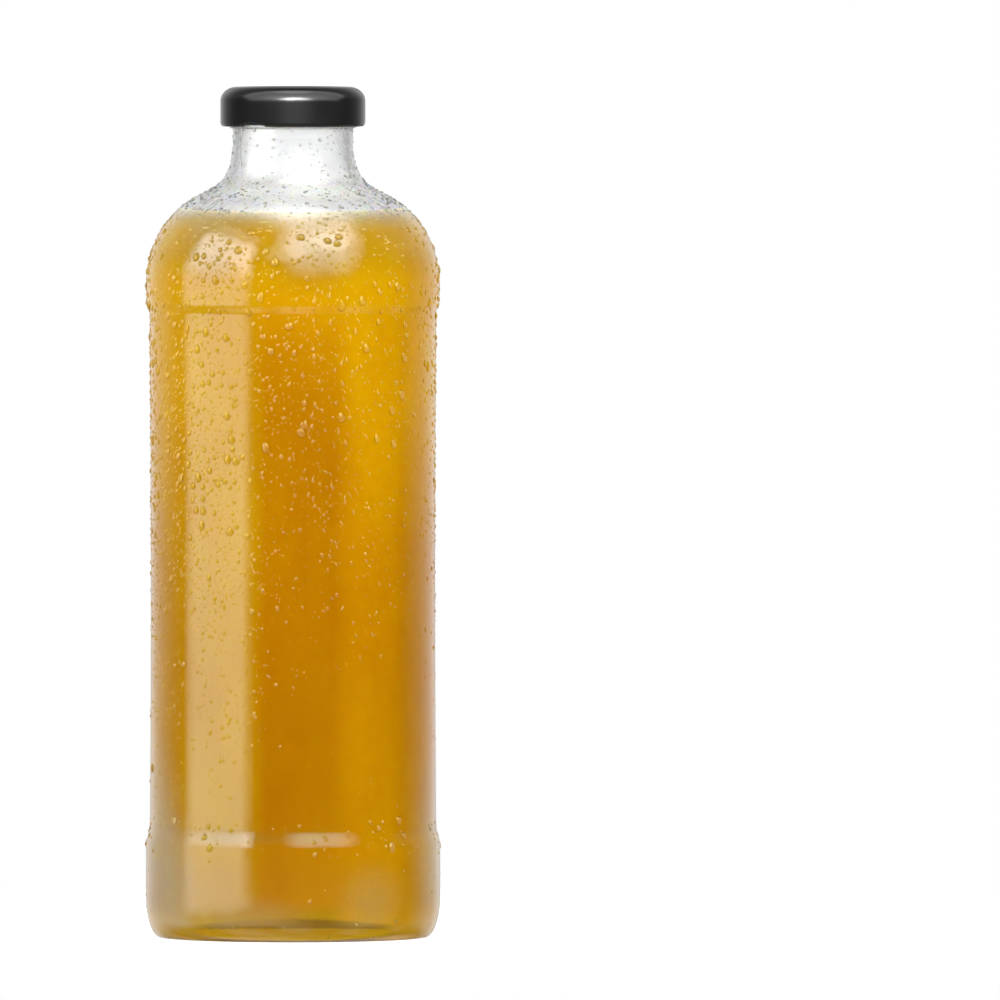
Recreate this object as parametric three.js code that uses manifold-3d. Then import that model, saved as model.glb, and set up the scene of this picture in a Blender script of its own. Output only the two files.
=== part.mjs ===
// Round one litre glass lemonade bottle, filled and closed with a lug cap.
// Millimetres, +Z up, origin at the centre of the foot, the side that faces the viewer towards -Y.
import * as THREE from "three";
import { mergeVertices } from "three/addons/utils/BufferGeometryUtils.js";
import Module from "manifold-3d";

// Sides of every round piece, and steps of each curve of an outline
const SIDES = 40;
const CURVE_STEPS = 4;

// Free space between two pieces that touch in the real bottle
const GAP = 0.3;

// Foot and heel of the glass: a bearing ring round a raised punt, then a thick rounded heel
const PUNT_HEIGHT = 4.2;
const PUNT_RADIUS = 30.5;
const FOOT_RADIUS = 37.8;
const HEEL_RADIUS = 42.15;
const HEEL_CORNER_TOP = 12.6;
const HEEL_TOP = 27.4;

// Label panel, set back between the heel and the shoulder band, and slightly waisted
const PANEL_RADIUS = 41.0;
const PANEL_WAIST = 0.3;
const PANEL_BOTTOM = 31.2;
const PANEL_TOP = 178.8;

// Shoulder: a short upright band, then a quarter of an ellipse that runs into the hollow flare of the neck
const BAND_RADIUS = 41.93;
const BAND_BOTTOM = 181.7;
const BAND_TOP = 187.5;
const SHOULDER_REACH = 25.76;
const SHOULDER_RISE = 27.48;
const SHOULDER_ARC = THREE.MathUtils.degToRad(60.2);
const FLARE_TOP = 228.9;
const FLARE_LOWER_PULL = 6.6;
const FLARE_UPPER_PULL = 13.4;

// Neck, the bead below the cap, and the finish inside the cap
const NECK_RADIUS = 17.17;
const BEAD_BOTTOM = 230.9;
const BEAD_RADIUS = 18.17;
const BEAD_TOP = 233.0;
const FINISH_RADIUS = 17.8;
const LIP_TOP = 242.3;
const LIP_ROUNDING = 0.9;

// Inside of the glass
const WALL = 2.65;
const BORE_RADIUS = 14.4;
const MOUTH_RADIUS = 15.5;
const FLOOR_APEX = 7.6;
const FLOOR_EDGE = 5.2;
const FLOOR_RADIUS = 28.5;
const FLOOR_CORNER_TOP = 15.0;

// Lemonade
const FILL_LEVEL = 207.2;

// Cap
const CAP_RADIUS = 20.75;
const CAP_TOP = 243.4;
const CAP_BOTTOM = 232.05;
const CAP_SHEET = 0.7;
const CAP_SHOULDER_REACH = 4.6;
const CAP_SHOULDER_DROP = 4.0;
const CAP_PANEL_RADIUS = 13.2;
const CAP_PANEL_DEPTH = 1.05;
const CURL_ROUNDING = 1.1;
const CURL_INNER_RADIUS = 18.75;
const CURL_HEIGHT = 2.2;
const CURL_SLOPE = 1.1;

// Lugs: the curl is pressed in at equal steps round the cap
const LUG_COUNT = 3;
const FIRST_LUG_ANGLE = THREE.MathUtils.degToRad(-34.4);
const LUG_RISE = 1.1;
const LUG_CUT_RADIUS = 7.3;
const LUG_CUT_SIDES = 48;
const LUG_INNER_RADIUS = 19.55;

const wasm = await Module();
wasm.setup();

// A point on an ellipse round (cx, cy), and the direction in which the outline leaves it
function onEllipse(cx, cy, reach, rise, angle) {
  const point = new THREE.Vector2(cx + reach * Math.cos(angle), cy + rise * Math.sin(angle));
  const heading = new THREE.Vector2(-reach * Math.sin(angle), rise * Math.cos(angle)).normalize();
  return { point, heading };
}

// An S-shaped step from where the outline stands to (radius, top), upright at both ends
function stepTo(path, radius, top) {
  const { x, y } = path.currentPoint;
  const middle = (y + top) / 2;
  path.bezierCurveTo(x, middle, radius, middle, radius, top);
}

// From the end of the shoulder's ellipse through the hollow flare to an upright neck
function flareTo(path, heading, radius, top) {
  const { x, y } = path.currentPoint;
  path.bezierCurveTo(
    x + heading.x * FLARE_LOWER_PULL,
    y + heading.y * FLARE_LOWER_PULL,
    radius,
    top - FLARE_UPPER_PULL,
    radius,
    top,
  );
}

// Outside of the glass, from the middle of the punt out, up and over to the inner edge of the lip
function glassOutside() {
  const path = new THREE.Path();
  path.moveTo(0, PUNT_HEIGHT);
  path.quadraticCurveTo(PUNT_RADIUS * 0.6, PUNT_HEIGHT, PUNT_RADIUS, 0);
  path.lineTo(FOOT_RADIUS, 0);
  path.bezierCurveTo(
    FOOT_RADIUS + (HEEL_RADIUS - FOOT_RADIUS) * 0.6,
    0,
    HEEL_RADIUS,
    HEEL_CORNER_TOP * 0.43,
    HEEL_RADIUS,
    HEEL_CORNER_TOP,
  );
  path.lineTo(HEEL_RADIUS, HEEL_TOP);
  stepTo(path, PANEL_RADIUS, PANEL_BOTTOM);
  path.quadraticCurveTo(PANEL_RADIUS - 2 * PANEL_WAIST, (PANEL_BOTTOM + PANEL_TOP) / 2, PANEL_RADIUS, PANEL_TOP);
  stepTo(path, BAND_RADIUS, BAND_BOTTOM);
  path.lineTo(BAND_RADIUS, BAND_TOP);
  const centre = BAND_RADIUS - SHOULDER_REACH;
  path.absellipse(centre, BAND_TOP, SHOULDER_REACH, SHOULDER_RISE, 0, SHOULDER_ARC, false);
  const end = onEllipse(centre, BAND_TOP, SHOULDER_REACH, SHOULDER_RISE, SHOULDER_ARC);
  flareTo(path, end.heading, NECK_RADIUS, FLARE_TOP);
  path.lineTo(NECK_RADIUS, BEAD_BOTTOM);
  path.quadraticCurveTo(BEAD_RADIUS, BEAD_BOTTOM, BEAD_RADIUS, (BEAD_BOTTOM + BEAD_TOP) / 2);
  path.lineTo(BEAD_RADIUS, BEAD_TOP);
  path.lineTo(FINISH_RADIUS, BEAD_TOP + BEAD_RADIUS - FINISH_RADIUS);
  path.lineTo(FINISH_RADIUS, LIP_TOP - LIP_ROUNDING);
  path.quadraticCurveTo(FINISH_RADIUS, LIP_TOP, FINISH_RADIUS - LIP_ROUNDING, LIP_TOP);
  path.quadraticCurveTo(MOUTH_RADIUS, LIP_TOP, MOUTH_RADIUS, LIP_TOP - LIP_ROUNDING);
  return path;
}

// The hollow of the bottle, shrunk by an inset, from the middle of its floor up to an angle of the shoulder's ellipse
function hollow(inset, shoulderArc) {
  const wallRadius = PANEL_RADIUS - WALL - inset;
  const bandRadius = BAND_RADIUS - WALL - inset;
  const reach = SHOULDER_REACH - WALL - inset;
  const rise = SHOULDER_RISE - WALL - inset;
  const path = new THREE.Path();
  path.moveTo(0, FLOOR_APEX + inset);
  path.quadraticCurveTo(FLOOR_RADIUS * 0.6, FLOOR_APEX + inset, FLOOR_RADIUS, FLOOR_EDGE + inset);
  path.quadraticCurveTo(wallRadius, FLOOR_EDGE + inset, wallRadius, FLOOR_CORNER_TOP);
  path.lineTo(wallRadius, PANEL_TOP);
  stepTo(path, bandRadius, BAND_TOP);
  path.absellipse(bandRadius - reach, BAND_TOP, reach, rise, 0, shoulderArc, false);
  return { path, end: onEllipse(bandRadius - reach, BAND_TOP, reach, rise, shoulderArc) };
}

// Inside of the glass, from the middle of its floor up to the lip
function glassInside() {
  const { path, end } = hollow(0, SHOULDER_ARC);
  flareTo(path, end.heading, BORE_RADIUS, FLARE_TOP);
  path.lineTo(BORE_RADIUS, BEAD_TOP);
  path.lineTo(MOUTH_RADIUS, LIP_TOP - LIP_ROUNDING);
  return path;
}

// Turns an outline round the Z axis; it starts and ends on the axis, and its solid lies to its left
function turned(points) {
  const geometry = new THREE.LatheGeometry(points, SIDES);
  geometry.rotateX(Math.PI / 2);
  return geometry;
}

function glassGeometry() {
  const outside = glassOutside().getPoints(CURVE_STEPS);
  const inside = glassInside().getPoints(CURVE_STEPS).reverse();
  return turned([...outside, ...inside.slice(1)]);
}

function lemonadeGeometry() {
  const rise = SHOULDER_RISE - WALL - GAP;
  const { path } = hollow(GAP, Math.asin((FILL_LEVEL - BAND_TOP) / rise));
  path.lineTo(0, FILL_LEVEL);
  return turned(path.getPoints(CURVE_STEPS));
}

// Sheet metal cap: a recessed panel, a rounded shoulder, an upright skirt and a curl rolled inwards at its edge
function capShell() {
  const crest = CAP_RADIUS - CAP_SHOULDER_REACH;
  const shoulder = CAP_TOP - CAP_SHOULDER_DROP;
  const panel = CAP_TOP - CAP_PANEL_DEPTH;
  const curlCentre = CAP_RADIUS - CURL_ROUNDING;
  const curlMiddle = CAP_BOTTOM + CURL_ROUNDING;
  const curlTop = CAP_BOTTOM + CURL_HEIGHT;
  const panelEdge = (CAP_PANEL_RADIUS + crest) / 2;
  const path = new THREE.Path();
  path.moveTo(0, panel - CAP_SHEET);
  path.lineTo(CAP_PANEL_RADIUS, panel - CAP_SHEET);
  path.bezierCurveTo(panelEdge, panel - CAP_SHEET, panelEdge, CAP_TOP - CAP_SHEET, crest, CAP_TOP - CAP_SHEET);
  path.absellipse(
    crest,
    shoulder,
    CAP_SHOULDER_REACH - CAP_SHEET,
    CAP_SHOULDER_DROP - CAP_SHEET,
    Math.PI / 2,
    0,
    true,
  );
  path.lineTo(CAP_RADIUS - CAP_SHEET, curlTop + CURL_SLOPE);
  path.lineTo(CURL_INNER_RADIUS, curlTop);
  path.lineTo(CURL_INNER_RADIUS, CAP_BOTTOM + CURL_ROUNDING / 2);
  path.lineTo(CURL_INNER_RADIUS + CURL_ROUNDING / 2, CAP_BOTTOM);
  path.lineTo(curlCentre, CAP_BOTTOM);
  path.absarc(curlCentre, curlMiddle, CURL_ROUNDING, -Math.PI / 2, 0, false);
  path.lineTo(CAP_RADIUS, shoulder);
  path.absellipse(crest, shoulder, CAP_SHOULDER_REACH, CAP_SHOULDER_DROP, 0, Math.PI / 2, false);
  path.bezierCurveTo(panelEdge, CAP_TOP, panelEdge, panel, CAP_PANEL_RADIUS, panel);
  path.lineTo(0, panel);
  return turned(path.getPoints(CURVE_STEPS));
}

function toSolid(geometry) {
  const bare = geometry.clone();
  bare.deleteAttribute("normal");
  bare.deleteAttribute("uv");
  const merged = mergeVertices(bare);
  return new wasm.Manifold(
    new wasm.Mesh({
      numProp: 3,
      vertProperties: new Float32Array(merged.attributes.position.array),
      triVerts: new Uint32Array(merged.index.array),
    }),
  );
}

function toGeometry(solid) {
  const mesh = solid.getMesh();
  const geometry = new THREE.BufferGeometry();
  geometry.setAttribute("position", new THREE.BufferAttribute(mesh.vertProperties, 3));
  geometry.setIndex(new THREE.BufferAttribute(mesh.triVerts, 1));
  geometry.computeVertexNormals();
  return geometry;
}

// A disc lying against the skirt, whose upper edge arches into the curl where a lug is pressed in
function lugCutter(angle) {
  const reach = CAP_RADIUS + 1 - LUG_INNER_RADIUS;
  const disc = new THREE.CylinderGeometry(LUG_CUT_RADIUS, LUG_CUT_RADIUS, reach, LUG_CUT_SIDES);
  disc.translate(0, -(LUG_INNER_RADIUS + reach / 2), CAP_BOTTOM + LUG_RISE - LUG_CUT_RADIUS);
  disc.rotateZ(angle);
  return disc;
}

function capGeometry() {
  let cap = toSolid(capShell());
  for (let lug = 0; lug < LUG_COUNT; lug += 1) {
    const angle = FIRST_LUG_ANGLE + (lug * 2 * Math.PI) / LUG_COUNT;
    cap = cap.subtract(toSolid(lugCutter(angle)));
  }
  return toGeometry(cap);
}

const glass = new THREE.MeshStandardMaterial({
  color: 0xeef3f1,
  roughness: 0.05,
  metalness: 0,
  transparent: true,
  opacity: 0.35,
});
const lemonade = new THREE.MeshStandardMaterial({ color: 0xc98204, roughness: 0.2, metalness: 0 });
const blackEnamel = new THREE.MeshStandardMaterial({ color: 0x202020, roughness: 0.25, metalness: 0 });

function piece(name, geometry, material) {
  const mesh = new THREE.Mesh(geometry, material);
  mesh.name = name;
  return mesh;
}

const bottle = new THREE.Group();
bottle.add(
  piece("bottle_glass", glassGeometry(), glass),
  piece("lemonade", lemonadeGeometry(), lemonade),
  piece("cap", capGeometry(), blackEnamel),
);

export default bottle;
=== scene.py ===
# Glass lemonade bottle with a black lug cap, beaded with cold drops.
# Outlines are in millimetres, as the bottle is drawn; everything handed to Blender is in metres.
import math

import bpy
from mathutils import Matrix, Vector


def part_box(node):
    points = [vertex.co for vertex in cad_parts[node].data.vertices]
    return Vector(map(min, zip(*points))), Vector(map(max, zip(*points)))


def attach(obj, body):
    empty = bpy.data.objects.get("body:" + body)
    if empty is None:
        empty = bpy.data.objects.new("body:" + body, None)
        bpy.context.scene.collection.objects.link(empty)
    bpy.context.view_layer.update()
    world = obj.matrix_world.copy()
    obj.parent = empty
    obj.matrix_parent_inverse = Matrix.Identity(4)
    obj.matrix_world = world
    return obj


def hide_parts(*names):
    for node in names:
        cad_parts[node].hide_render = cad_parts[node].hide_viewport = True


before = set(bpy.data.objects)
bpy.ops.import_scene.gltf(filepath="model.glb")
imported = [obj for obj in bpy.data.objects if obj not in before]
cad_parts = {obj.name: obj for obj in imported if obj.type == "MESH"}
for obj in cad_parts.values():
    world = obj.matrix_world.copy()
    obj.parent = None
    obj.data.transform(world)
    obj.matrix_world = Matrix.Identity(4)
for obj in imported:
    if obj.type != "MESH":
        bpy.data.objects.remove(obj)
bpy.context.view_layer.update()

MM = 0.001


def high(node, axis):
    """The highest coordinate of a frame node along an axis, in millimetres."""
    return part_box(node)[1][axis] / MM


# Foot and heel of the glass
PUNT_HEIGHT = 4.2
PUNT_RADIUS = 30.5
FOOT_RADIUS = 37.8
HEEL_RADIUS = high("bottle_glass", 0)
HEEL_CORNER_TOP = 12.6
HEEL_TOP = 26.7

# Panel between the stepped bands, slightly waisted
PANEL_RADIUS = 41.0
PANEL_WAIST = 0.3
PANEL_BOTTOM = 31.9
PANEL_TOP = 178.8

# Shoulder band, dome of the shoulder, and the flare of the neck
BAND_RADIUS = 41.93
BAND_BOTTOM = 181.7
BAND_TOP = 187.5
SHOULDER_REACH = 25.76
SHOULDER_RISE = 27.48
SHOULDER_ARC = math.radians(60.2)
FLARE_TOP = 228.9
FLARE_LOWER_PULL = 6.6
FLARE_UPPER_PULL = 13.4

# Neck, bead and finish
NECK_RADIUS = 17.17
SEAM_HEIGHT = 228.8
SEAM_RELIEF = 0.04
SEAM_WIDTH = 1.0
BEAD_BOTTOM = 231.5
BEAD_RADIUS = 18.17
BEAD_TOP = 233.0
FINISH_RADIUS = 17.8
LIP_TOP = high("bottle_glass", 2)
LIP_ROUNDING = 0.9

# Inside of the glass
WALL = 2.65
BORE_RADIUS = 14.4
MOUTH_RADIUS = 15.5
FLOOR_APEX = 7.6
FLOOR_EDGE = 5.2
FLOOR_RADIUS = 28.5
FLOOR_CORNER_TOP = 15.0

# Lemonade: it reaches just into the wall, and creeps up it at the rim
FILL_LEVEL = high("lemonade", 2)
REACH_INTO_WALL = 0.15
MENISCUS_RISE = 0.8
MENISCUS_WIDTH = 3.2

# The drink's colour by height, as a share of the fill level, with painted light in it: brighter and yellower
# towards the top, where the overhead light falls; the last stops are pale painted reflection under the
# shoulder and on the top surface
DRINK_COLOURS_AND_PAINTED_LIGHT = (
    (0.036, (0.47, 0.275, 0.008)),
    (0.055, (0.57, 0.27, 0.004)),
    (0.2, (0.515, 0.235, 0.0008)),
    (0.464, (0.502, 0.223, 0.0008)),
    (0.671, (0.505, 0.234, 0.0009)),
    (0.822, (0.567, 0.286, 0.001)),
    (0.884, (0.65, 0.362, 0.0012)),
    (0.94, (0.53, 0.31, 0.004)),
    (0.975, (0.52, 0.305, 0.014)),
    (0.989, (0.48, 0.345, 0.13)),
    (0.9945, (0.49, 0.43, 0.32)),
    (1.0, (0.58, 0.57, 0.53)),
)

# Painted bands of light in the drink, brighter and yellower where light from the sides glows through it:
# azimuth, how near to it, as a cosine, they are full and have faded out, and their colour low down and high
# up
PAINTED_LIGHT_BANDS = (
    (-35, 0.978, 0.9, (0.57, 0.345, 0.003), (0.6, 0.375, 0.003)),
    (38, 0.99, 0.93, (0.6, 0.3, 0.001), (0.66, 0.375, 0.001)),
    (-74, 0.955, 0.85, (0.535, 0.285, 0.001), (0.63, 0.35, 0.002)),
    (76, 0.955, 0.85, (0.535, 0.262, 0.001), (0.65, 0.37, 0.002)),
)

# Heights over which the painted light bands take their upper colour, and over which they end
LIGHT_BAND_CLIMB = (100, 170)
LIGHT_BAND_END = (183, 196)

# Patches painted on the drink's side: pale ones are painted haze of light from the misted glass and its
# reflections, the deepest, under the shoulder, are painted shade beneath the shoulder's reflections, and two
# narrow darker bands lie along the foot step. Azimuth, height, half width in degrees, half height, strength
# and colour; and the radii over which floor gives way to side
PAINTED_HAZE_AND_SHADE = (
    (-38, 13, 22, 10, 0.5, (0.56, 0.36, 0.09)),
    (36, 11, 18, 12, 0.8, (0.58, 0.37, 0.09)),
    (-12, 8, 22, 5, 0.6, (0.56, 0.35, 0.09)),
    (-30, 29.5, 22, 3, 0.7, (0.4, 0.28, 0.06)),
    (8, 29.5, 17, 3, 0.6, (0.39, 0.3, 0.02)),
    (-58, 15, 14, 18, 0.9, (0.56, 0.44, 0.22)),
    (-74, 22, 24, 30, 0.7, (0.5, 0.42, 0.28)),
    (84, 24, 26, 28, 0.7, (0.48, 0.4, 0.27)),
    (-47, 204, 11, 7, 0.6, (0.5, 0.39, 0.19)),
    (-30, 6, 24, 5, 0.6, (0.45, 0.31, 0.12)),
    (-37, 197, 18, 9, 0.55, (0.32, 0.23, 0.04)),
    (12, 198, 18, 10, 0.65, (0.32, 0.21, 0.03)),
)
DRINK_SIDE = (29, 34)

# Stippled ring of the foot, as it shows through the glass, painted on the drink in a dark colour that is
# partly the stipple and partly painted shade of the floor under the bottle:
# radii at the front, how far they fall away to the sides, how soft the two edges are, and how far the stipple
# frays them
RING_OUTER = 35.4
RING_INNER = 25.5
RING_OUTER_FALL = 9
RING_INNER_FALL = 6
RING_OUTER_SOFTNESS = (-0.6, 0.6)
RING_INNER_SOFTNESS = (-1.5, 0.5)
RING_FRAYING = 2.5
STIPPLE_AND_SHADE_COLOUR = (0.25, 0.135, 0.012)

# Painted light on the underside within the ring, with the radii it fades between, and the heights over which
# both end
UNDERSIDE_EDGE = (20, 25)
PAINTED_UNDERSIDE_LIGHT = (0.98, 0.5, 0.004)
FOOT_TINT_END = (9, 12)

# Heights over which the mist on the glass thickens, the heel's waves end, and drops turn from amber to clear
MIST_RISE = (FILL_LEVEL - 10, FILL_LEVEL + 4)
HEEL_WAVES_END = (6, 30)
DROPS_CLEARING = (FILL_LEVEL - 4, FILL_LEVEL)

# Condensation: how deep a drop of unit radius is set into the glass, the wetter side, as an azimuth and the
# cosines it fades between, and how far down its drops come
DROP_SINK = 0.05
WETTER_AZIMUTH = -45
WETTER_COSINES = (0.76, 0.9)
WETTER_REACH = 42

# Heights over which drops come to lie wide on the dome, and over which they thin out on the neck; and the
# top height of a scatter that has none, in metres
DOME_RANGE = (190, 206)
NECK_RANGE = (206, 219)
NO_TOP = 1.0

# Cap
CAP_RADIUS = high("cap", 0)
CAP_TOP = high("cap", 2)
CAP_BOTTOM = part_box("cap")[0].z / MM
CAP_SHEET = 0.45
CAP_SHOULDER_REACH = 4.6
CAP_SHOULDER_DROP = 4.0
CAP_PANEL_RADIUS = 13.2
CAP_PANEL_DEPTH = 1.05
CURL_ROUNDING = 1.1
LUG_COUNT = 3
FIRST_LUG_AZIMUTH = -34.4
LUG_RISE = 1.5
LUG_DEPTH = 0.35
LUG_SLOPE = 0.45
LUG_HALF_WIDTH = 4.1
LUG_REACH = 2.6

# Camera: as far off as a product lens stands, a little above the foot, with the bottle left of the middle
FRAME_SIDE = 1000
CAP_WIDTH_PIXELS = 145
AXIS_PIXEL = 293
FOOT_PIXEL = 937.1
PIXEL = 2 * CAP_RADIUS * MM / CAP_WIDTH_PIXELS
CAMERA_DISTANCE = 8.0
CAMERA_ELEVATION = math.radians(1.5)
SENSOR = 36.0

# Floor
FLOOR_FULL_RADIUS = 40
FLOOR_DISC_RADIUS = 350
FLOOR_DISC_DEPTH = 0.4
FLOOR_SIDES = 96

# Fineness of the turned pieces
GLASS_SIDES = 192
CAP_SIDES = 240
CURVE_STEPS = 12


# Node trees

class Value:
    """One output socket of a node, ready for arithmetic."""

    def __init__(self, tree, socket):
        self.tree = tree
        self.socket = socket

    def out(self, name):
        """Another output of the same node."""
        return Value(self.tree, self.socket.node.outputs[name])

    def __add__(self, other):
        return self.tree.math("ADD", self, other)

    def __radd__(self, other):
        return self.tree.math("ADD", other, self)

    def __sub__(self, other):
        return self.tree.math("SUBTRACT", self, other)

    def __rsub__(self, other):
        return self.tree.math("SUBTRACT", other, self)

    def __mul__(self, other):
        return self.tree.math("MULTIPLY", self, other)

    def __rmul__(self, other):
        return self.tree.math("MULTIPLY", other, self)

    def __truediv__(self, other):
        return self.tree.math("DIVIDE", self, other)

    def __rtruediv__(self, other):
        return self.tree.math("DIVIDE", other, self)

    def __pow__(self, other):
        return self.tree.math("POWER", self, other)


class Tree:
    """A node tree whose nodes come from one method."""

    def __init__(self, node_tree):
        self.node_tree = node_tree

    def node(self, kind, settings=None, inputs=None, output=0):
        """Adds a node: settings first, then the values or links of its sockets; gives one output."""
        made = self.node_tree.nodes.new(kind)
        for name, setting in (settings or {}).items():
            if name == "stops":
                self.set_stops(made.color_ramp.elements, setting)
            else:
                setattr(made, name, setting)
        for key, given in (inputs or {}).items():
            socket = self.find(made.inputs, key)
            if isinstance(given, Value):
                self.node_tree.links.new(given.socket, socket)
            else:
                socket.default_value = given
        if not made.outputs:
            return None
        return Value(self, self.find(made.outputs, output))

    @staticmethod
    def find(sockets, key):
        if isinstance(key, int):
            return sockets[key]
        return next(socket for socket in sockets if socket.enabled and socket.name == key)

    @staticmethod
    def set_stops(elements, stops):
        while len(elements) < len(stops):
            elements.new(1.0)
        for element, (place, colour) in zip(elements, stops):
            element.position = place
            element.color = (*colour, 1.0)

    def math(self, operation, *values):
        inputs = dict(enumerate(values))
        return self.node("ShaderNodeMath", {"operation": operation}, inputs)

    def vector(self, operation, *values, output=0):
        inputs = dict(enumerate(values))
        return self.node("ShaderNodeVectorMath", {"operation": operation}, inputs, output)

    def smooth(self, value, low, high, start=0.0, end=1.0):
        """Runs smoothly from start to end as the value goes from low to high."""
        inputs = {"Value": value, "From Min": low, "From Max": high, "To Min": start, "To Max": end}
        return self.node("ShaderNodeMapRange", {"interpolation_type": "SMOOTHSTEP"}, inputs)

    def fade_in(self, length, low, high):
        """Runs smoothly from 0 to 1 between two lengths in millimetres."""
        return self.smooth(length, low * MM, high * MM)

    def scaled(self, vector, factor):
        inputs = {0: vector, "Scale": factor}
        return self.node("ShaderNodeVectorMath", {"operation": "SCALE"}, inputs)

    def facing(self, direction, azimuth):
        """How nearly a direction points to an azimuth, as a cosine."""
        return self.vector("DOT_PRODUCT", direction, towards(azimuth), output="Value")

    def noise(self, place, scale, detail=2.0, roughness=0.5):
        inputs = {"Vector": place, "Scale": scale, "Detail": detail, "Roughness": roughness}
        return self.node("ShaderNodeTexNoise", {}, inputs)

    def mix_colour(self, factor, first, second, blend="MIX"):
        settings = {"data_type": "RGBA", "blend_type": blend}
        return self.node("ShaderNodeMix", settings, {"Factor": factor, "A": first, "B": second}, "Result")


def towards(azimuth):
    """The level direction at an azimuth: 0 to the front, 90 to the right."""
    turn = math.radians(azimuth)
    return (math.sin(turn), -math.cos(turn), 0)


def colour(red, green, blue):
    return (red, green, blue, 1.0)


def new_material(name):
    """A material with an empty tree; gives both."""
    material = bpy.data.materials.new(name)
    material.use_nodes = True
    material.node_tree.nodes.clear()
    return material, Tree(material.node_tree)


def stretched(tree, scale):
    """Object coordinates, scaled apart along the three axes."""
    place = tree.node("ShaderNodeTexCoord", output="Object")
    return tree.node("ShaderNodeMapping", {}, {"Vector": place, "Scale": scale})


def height_of(tree):
    place = tree.node("ShaderNodeTexCoord", output="Object")
    return tree.node("ShaderNodeSeparateXYZ", {}, {"Vector": place}, "Z")


def level_part(tree, place):
    """A place without its height, as a vector from the axis."""
    return tree.vector("MULTIPLY", place, (1, 1, 0))


def let_lamps_through(tree, glass):
    """Ends the tree with glass that casts no shadow, so that lamp light reaches what it holds."""
    clear = tree.node("ShaderNodeBsdfTransparent", {}, {"Color": colour(1, 1, 1)})
    shadow = tree.node("ShaderNodeLightPath", output="Is Shadow Ray")
    surface = tree.node("ShaderNodeMixShader", {}, {0: shadow, 1: glass, 2: clear})
    tree.node("ShaderNodeOutputMaterial", {}, {"Surface": surface})


# Finishes

def clear_glass():
    """Flint glass with a thin breath of mist on it, faint waves from the mould and a stippled heel."""
    material, tree = new_material("clear_glass")
    place = stretched(tree, (1, 1, 1))
    height = height_of(tree)
    mist = tree.noise(place, 90.0, 4.0, 0.6)
    above_drink = tree.fade_in(height, *MIST_RISE)
    heel = 1 - tree.fade_in(height, *HEEL_WAVES_END)
    waves = tree.noise(stretched(tree, (1, 1, 0.35)), 70.0, 2.0, 0.4)
    ripple = tree.noise(stretched(tree, (1, 1, 0.6)), 330.0, 2.0, 0.5)
    stipple = tree.noise(place, 1100.0, 1.0, 0.5)
    relief = waves * (0.25 + 0.6 * heel) + ripple * (0.04 + 0.16 * above_drink) + stipple * heel * 0.05
    bump = tree.node("ShaderNodeBump", {}, {"Strength": 0.35, "Distance": 0.0012, "Height": relief})
    glass = tree.node("ShaderNodeBsdfPrincipled", {}, {
        "Base Color": colour(0.985, 0.992, 0.99),
        "Roughness": 0.02 + mist * (0.025 + 0.4 * above_drink) + 0.1 * heel,
        "IOR": 1.52,
        "Transmission Weight": 1.0,
        "Normal": bump,
    })
    let_lamps_through(tree, glass)
    return material


def water():
    """Drops of condensation, with painted shade round their rims, where they turn steeply away from the
    glass: it stands in for the shadow a drop casts on the drink.
    """
    material, tree = new_material("water")
    film = tree.noise(stretched(tree, (1, 1, 1)), 400.0)
    place = tree.node("ShaderNodeTexCoord", output="Object")
    height = height_of(tree)
    above_drink = tree.fade_in(height, *DROPS_CLEARING)
    dome_tilt = tree.math("MAXIMUM", height - BAND_TOP * MM, 0.0) * (1 - above_drink) * 1.3
    upward = tree.node("ShaderNodeCombineXYZ", {}, {"Z": dome_tilt})
    outward = tree.vector("NORMALIZE", tree.vector("ADD", level_part(tree, place), upward))
    normal = tree.node("ShaderNodeNewGeometry", output="Normal")
    flatness = tree.math("ABSOLUTE", tree.vector("DOT_PRODUCT", normal, outward, output="Value"))
    steep = 1 - tree.smooth(flatness, 0.58, 0.9)
    # Painted shade round the drops' rims: amber over the drink, grey over the empty neck.
    rim = tree.mix_colour(above_drink, colour(0.44, 0.28, 0.1), colour(0.34, 0.34, 0.35))
    crown = tree.mix_colour(above_drink, colour(1, 0.99, 0.95), colour(1, 1, 1))
    glass = tree.node("ShaderNodeBsdfPrincipled", {}, {
        "Base Color": tree.mix_colour(steep, crown, rim),
        "Roughness": 0.01 + 0.03 * film,
        "IOR": 1.45,
        # Painted light: the yellow tint of the drops' reflections stands in for light that each drop focuses
        # on the drink.
        "Specular Tint": colour(1, 0.93, 0.3),
        "Transmission Weight": 1.0,
    })
    let_lamps_through(tree, glass)
    return material


def with_painted_light_bands(tree, body, height, outward, drift):
    """Painted bands of light in the drink, which end below its rim."""
    below_rim = 1 - tree.fade_in(height, *LIGHT_BAND_END)
    climb = tree.fade_in(height, *LIGHT_BAND_CLIMB)
    for azimuth, inner, outer, low_shade, high_shade in PAINTED_LIGHT_BANDS:
        near = tree.facing(outward, azimuth) + 0.04 * drift - 0.02
        shade = tree.mix_colour(climb, colour(*low_shade), colour(*high_shade))
        body = tree.mix_colour(tree.smooth(near, outer, inner) * below_rim, body, shade)
    return body


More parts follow.
